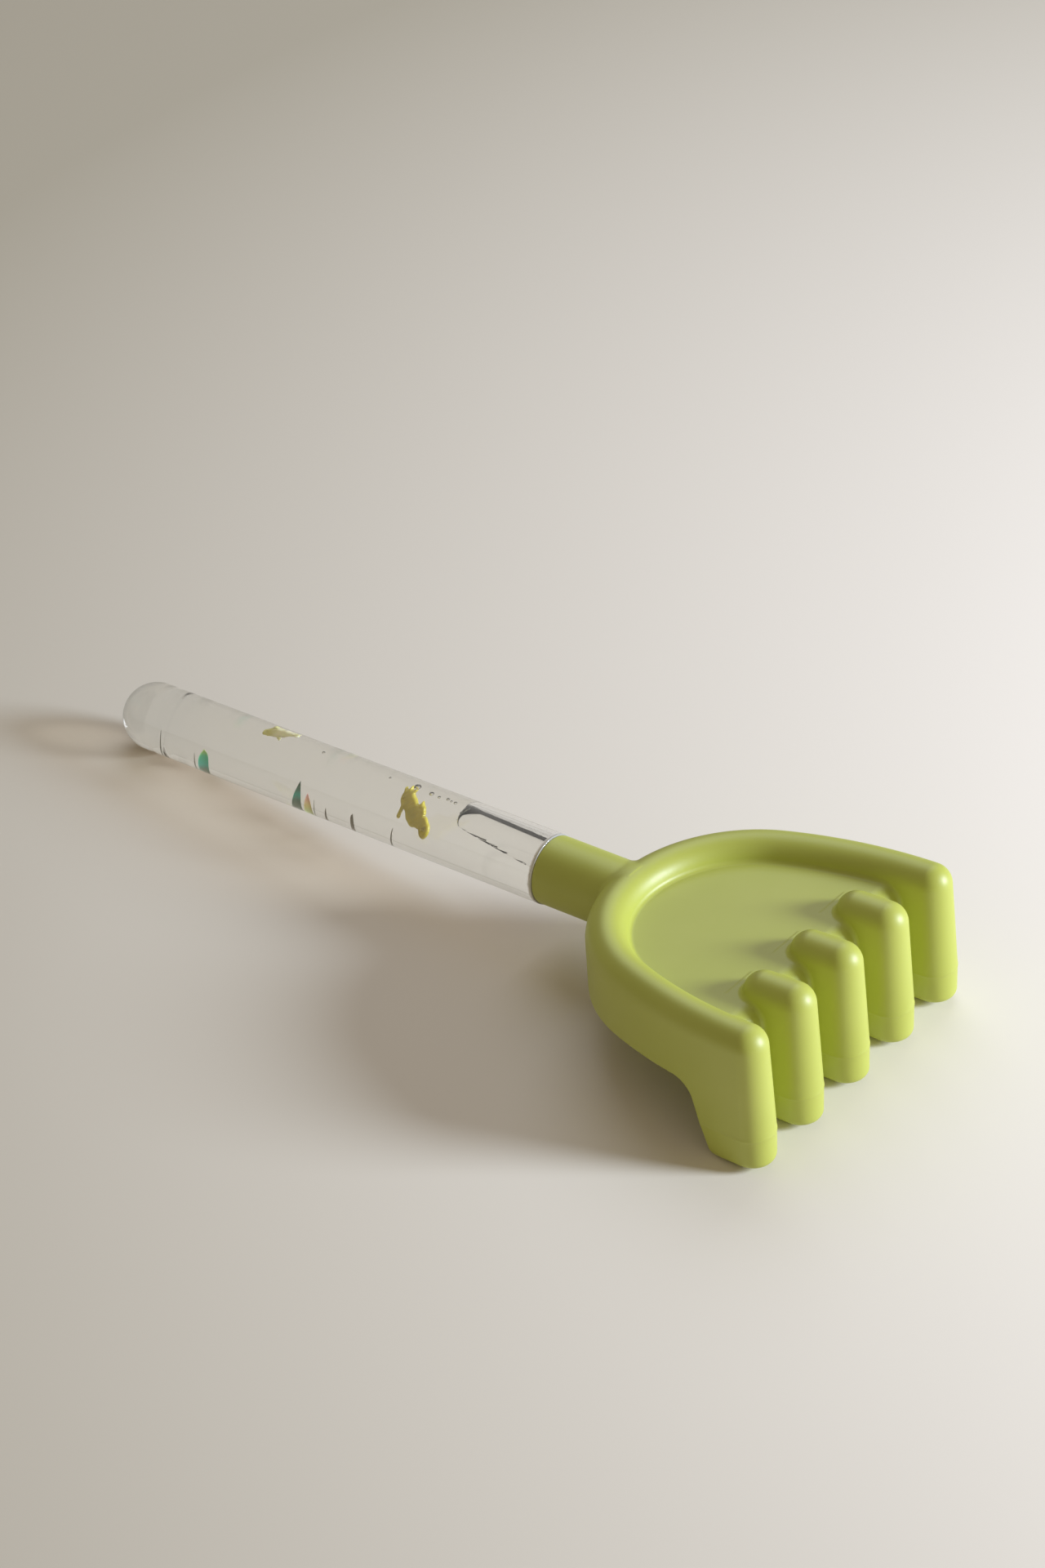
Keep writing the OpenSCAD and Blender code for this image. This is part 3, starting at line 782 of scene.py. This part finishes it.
# Colours, from foot to tip in the foils
GREEN_LOW = (0.458, 0.494, 0.078)
GREEN_HIGH = (0.482, 0.515, 0.092)
DARK_FOIL = ((0.0, (0.22, 0.23, 0.18)), (0.6, (0.3, 0.3, 0.25)), (1.0, (0.36, 0.35, 0.3)))
TEAL_FOIL = ((0.0, (0.12, 0.16, 0.12)), (0.35, (0.12, 0.24, 0.18)), (0.48, (0.06, 0.62, 0.5)),
             (0.75, (0.12, 0.72, 0.42)), (1.0, (0.62, 0.85, 0.2)))
# The green foil's bright teal band is a painted highlight on its dark green
GREEN_FOIL_PAINTED_GLINT = ((0.0, (0.13, 0.19, 0.13)), (0.4, (0.11, 0.22, 0.16)), (0.55, (0.06, 0.48, 0.38)),
              (0.7, (0.11, 0.28, 0.2)), (1.0, (0.14, 0.18, 0.14)))
PINK_FOIL = ((0.0, (0.2, 0.8, 0.45)), (0.3, (0.6, 0.92, 0.35)), (0.55, (0.95, 0.85, 0.35)),
             (0.75, (0.98, 0.6, 0.4)), (1.0, (0.95, 0.5, 0.5)))
# Each sequin's place along the handle as a share of the tube's length, its turn in degrees, and in mm its
# width, its height, how far its tip bends and leans, and the height of its foot where it isn't at the
# bottom of the bore. A higher taper keeps it wide for longer; fork is the depth of its notch as a share
# of its height.
SEQUINS = (
    {"at": 1.001, "turn": -52, "w": 1.6, "h": 4.6, "foot": -7.95, "stops": DARK_FOIL},
    {"at": 0.907, "turn": -46, "w": 1.5, "h": 3.8, "stops": DARK_FOIL},
    {"at": 0.8865, "turn": 30, "w": 4.0, "h": 5.2, "taper": 6, "bend": 0.5, "lean": 0.6,
     "stops": TEAL_FOIL, "slot": "foil_teal"},
    {"at": 0.6377, "turn": 25, "w": 4.8, "h": 6, "taper": 1.2, "bend": 0.4, "lean": 2.1,
     "stops": GREEN_FOIL_PAINTED_GLINT, "slot": "foil_teal"},
    {"at": 0.602, "turn": 20, "w": 3.6, "h": 4.2, "taper": 2.2, "bend": -0.3, "stops": PINK_FOIL,
     "slot": "foil_pink"},
    {"at": 0.584, "turn": -58, "w": 1.8, "h": 3.6, "stops": DARK_FOIL},
    {"at": 0.553, "turn": -40, "w": 2.4, "h": 3, "stops": DARK_FOIL},
    {"at": 0.4825, "turn": -30, "w": 2.2, "h": 3.8, "fork": 0.75, "taper": 8, "stops": DARK_FOIL},
    {"at": 0.384, "turn": -48, "w": 1.8, "h": 3.8, "bend": -0.7, "stops": DARK_FOIL},
)
# Each bubble's place along the handle, radius and distance to the side, in mm
BUBBLES = ((37.1, 0.5, 1.0), (38.6, 0.35, 0.9), (40.2, 0.5, 1.3), (43.2, 0.45, 0.8), (46.5, 0.7, 1.2),
           (52.7, 1.0, 2.0), (62.6, 0.35, 1.0), (89.3, 0.45, 1.0))

PLASTIC_IOR = 1.49
LIQUID_IOR = 1.36
PLASTIC_TINT = (0.985, 0.985, 0.975)
GREEN = green_plastic()
WALL_CLEAR = clear("clear_plastic_tube", PLASTIC_IOR, PLASTIC_TINT, (0.8, 0.75, 0.7))
CAP_CLEAR = clear("clear_plastic_cap", PLASTIC_IOR, PLASTIC_TINT, (0.22, 0.2, 0.17),
                  mid_shade=(0.8, 0.76, 0.7), edge_start=0.2)
PLUG_CLEAR = clear("clear_plastic_plug", PLASTIC_IOR, (0.97, 0.97, 0.95), (0.8, 0.75, 0.7), milk=0.45)
LIQUID_CLEAR = clear("clear_liquid_fill", LIQUID_IOR, (0.92, 0.915, 0.89), (0.86, 0.82, 0.78))

# Each piece on its body
put(make_head(), GREEN, "rake", "green_plastic", "rake_head")
clear_pieces = tube, cap, plug, liquid, bubbles = (
    make_tube(), make_cap(), make_plug(), make_liquid(), make_bubbles(BUBBLES))
put(tube, WALL_CLEAR, "rake", "clear_plastic", "handle_tube")
put(cap, CAP_CLEAR, "rake", "clear_plastic", "end_cap")
put(plug, PLUG_CLEAR, "rake", "clear_plastic", "tube_plug")
put(liquid, LIQUID_CLEAR, "rake", "clear_liquid", "liquid")
put(bubbles, LIQUID_CLEAR, "rake", "clear_liquid")
seahorse = make_charm("ochre_seahorse", seahorse_distance, SEAHORSE_H,
                      rise=0.54, place=50.97, lean=50, turn=42)
ochre = charm_plastic("ochre_charm", (0.54, 0.475, 0.03), (0.63, 0.56, 0.05), rough=0.4)
put(seahorse, ochre, "seahorse", "ochre_plastic", "seahorse")
fish = make_charm("lime_fish", fish_distance, FISH_LEN, rise=6.75, place=109.5, lean=12.5, turn=38)
lime = charm_plastic("milky_lime_charm", (0.84, 0.88, 0.5), (0.92, 0.93, 0.64), rough=0.35,
                     head=(0.74, 0.74, 0.22))
put(fish, lime, "fish", "lime_plastic", "fish")
for number, spot in enumerate(SEQUINS, 1):
    name = f"sequin_{number}"
    put(make_sequin(name + "_flake", spot), foil(name + "_foil", spot["stops"]), name,
        spot.get("slot", "foil_dark"), name)

# Floor, light and camera
scene = bpy.context.scene
scene.view_settings.view_transform = "Standard"
# Painted pool of light: the floor's colour is brightest round a spot right of the rake and darker with
# distance, in metres
PAINTED_LIGHT_SPOT = (0.496, 0.351, 0)
PAINTED_LIGHT_NEAR, PAINTED_LIGHT_FAR = 0.393, 0.932
FLOOR_PAPER_PAINTED_LIT = (0.964, 0.914, 0.831)
FLOOR_PAPER_PAINTED_DIM = (0.469, 0.432, 0.339)
FLOOR_REACH = 1.2
FLOOR_DROP = 0.0002
# What diffuse light, soft sheens, clear pieces and the camera find beyond the floor
WARM_ROOM = (0.315, 0.262, 0.19)
SHEEN_ROOM = (0.19, 0.18, 0.16)
CLEAR_ROOM = (0.6, 0.575, 0.535)
BACKDROP = (0.52, 0.49, 0.43)
# Each lamp: azimuth and height in degrees, distance and size in metres, power in watts and colour
LAMPS = {
    "low_window": (27.8, 21.8, 2.0, 0.55, 53.0, (0.782, 0.867, 1.0)),
    "soft_window": (122.0, 50.0, 1.2, 1.0, 4.4, (0.73, 0.8, 1.0)),
}


def make_floor():
    """A pale round paper floor that runs past the photo's view on every side."""
    steps = 128
    turns = [2 * math.pi * i / steps for i in range(steps)]
    rim = [(FLOOR_REACH * math.cos(turn), FLOOR_REACH * math.sin(turn), 0) for turn in turns]
    mesh = bpy.data.meshes.new("pale_floor")
    mesh.from_pydata(rim, [], [list(range(steps))])
    floor = link_mesh("pale_floor", mesh)
    floor.location.z = -FLOOR_DROP
    mat, nodes, links, shader = material("pale_floor_paper_painted_light")
    coords = nodes.new("ShaderNodeTexCoord")
    # Painted light: the paper's colour fades from painted lit to painted dim with distance from the spot
    away = nodes.new("ShaderNodeVectorMath")
    away.operation = "DISTANCE"
    away.inputs[1].default_value = PAINTED_LIGHT_SPOT
    links.new(coords.outputs["Object"], away.inputs[0])
    share = nodes.new("ShaderNodeMapRange")
    set_inputs(share, {"From Min": PAINTED_LIGHT_NEAR, "From Max": PAINTED_LIGHT_FAR})
    links.new(away.outputs["Value"], share.inputs["Value"])
    tint = ramp(nodes, links, share.outputs["Result"], [(0, FLOOR_PAPER_PAINTED_LIT), (1, FLOOR_PAPER_PAINTED_DIM)])
    links.new(tint.outputs["Color"], shader.inputs["Base Color"])
    shader.inputs["Roughness"].default_value = 0.9
    mesh.materials.append(mat)


def make_lamp(name, azimuth, height, far, size, power, colour):
    """A round lamp that faces the middle of the floor."""
    data = bpy.data.lights.new(name, "AREA")
    data.shape = "DISK"
    data.size = size
    data.energy = power
    data.color = colour
    lamp = bpy.data.objects.new(name, data)
    scene.collection.objects.link(lamp)
    turn, rise = math.radians(azimuth), math.radians(height)
    way = Vector((math.cos(turn) * math.cos(rise), math.sin(turn) * math.cos(rise), math.sin(rise)))
    lamp.location = way * far
    lamp.rotation_euler = way.to_track_quat("Z", "Y").to_euler()
    return lamp


def keep_off(lamp, pieces):
    """Keep a lamp's light, and so its broad streak, off some pieces; they still cast its shadow."""
    group = bpy.data.collections.new(lamp.name + "_kept_off")
    for piece in pieces:
        group.objects.link(piece)
    lamp.light_linking.receiver_collection = group
    for item in group.collection_objects:
        item.light_linking.link_state = "EXCLUDE"


def make_room():
    """Warm light in the shadows, a dim room in soft sheens, a paler one in the clear pieces."""
    world = bpy.data.worlds.new("soft_room")
    scene.world = world
    world.use_nodes = True
    nodes, links = world.node_tree.nodes, world.node_tree.links
    path = nodes.new("ShaderNodeLightPath")
    colour = nodes["Background"].inputs["Color"]
    colour.default_value = (*SHEEN_ROOM, 1)
    below = None
    for kind, tone in (("Is Transmission Ray", CLEAR_ROOM), ("Is Singular Ray", CLEAR_ROOM),
                       ("Is Diffuse Ray", WARM_ROOM), ("Is Camera Ray", BACKDROP)):
        mix = nodes.new("ShaderNodeMix")
        mix.data_type = "RGBA"
        set_inputs(mix, {"A": (*SHEEN_ROOM, 1), "B": (*tone, 1)})
        if below:
            links.new(below.outputs["Result"], mix.inputs["A"])
        links.new(path.outputs[kind], mix.inputs["Factor"])
        below = mix
    links.new(below.outputs["Result"], colour)


def make_camera():
    """The photo's camera, worked out from the tube, the tines and the floor."""
    right = Vector((0.78751, 0.61631, -0.00156))
    up = Vector((-0.36196, 0.46455, 0.80819))
    look = up.cross(right)
    place = (0.57972, -0.71683, 0.71436)
    data = bpy.data.cameras.new("photo_camera")
    data.lens = 88.4
    data.sensor_width = 36
    data.clip_start = 0.01
    camera = bpy.data.objects.new("photo_camera", data)
    scene.collection.objects.link(camera)
    turn = Matrix((right, up, -look)).transposed().to_4x4()
    camera.matrix_world = Matrix.Translation(place) @ turn
    scene.camera = camera


make_floor()
lamps = {name: make_lamp(name, *values) for name, values in LAMPS.items()}
keep_off(lamps["soft_window"], clear_pieces)
make_room()
make_camera()
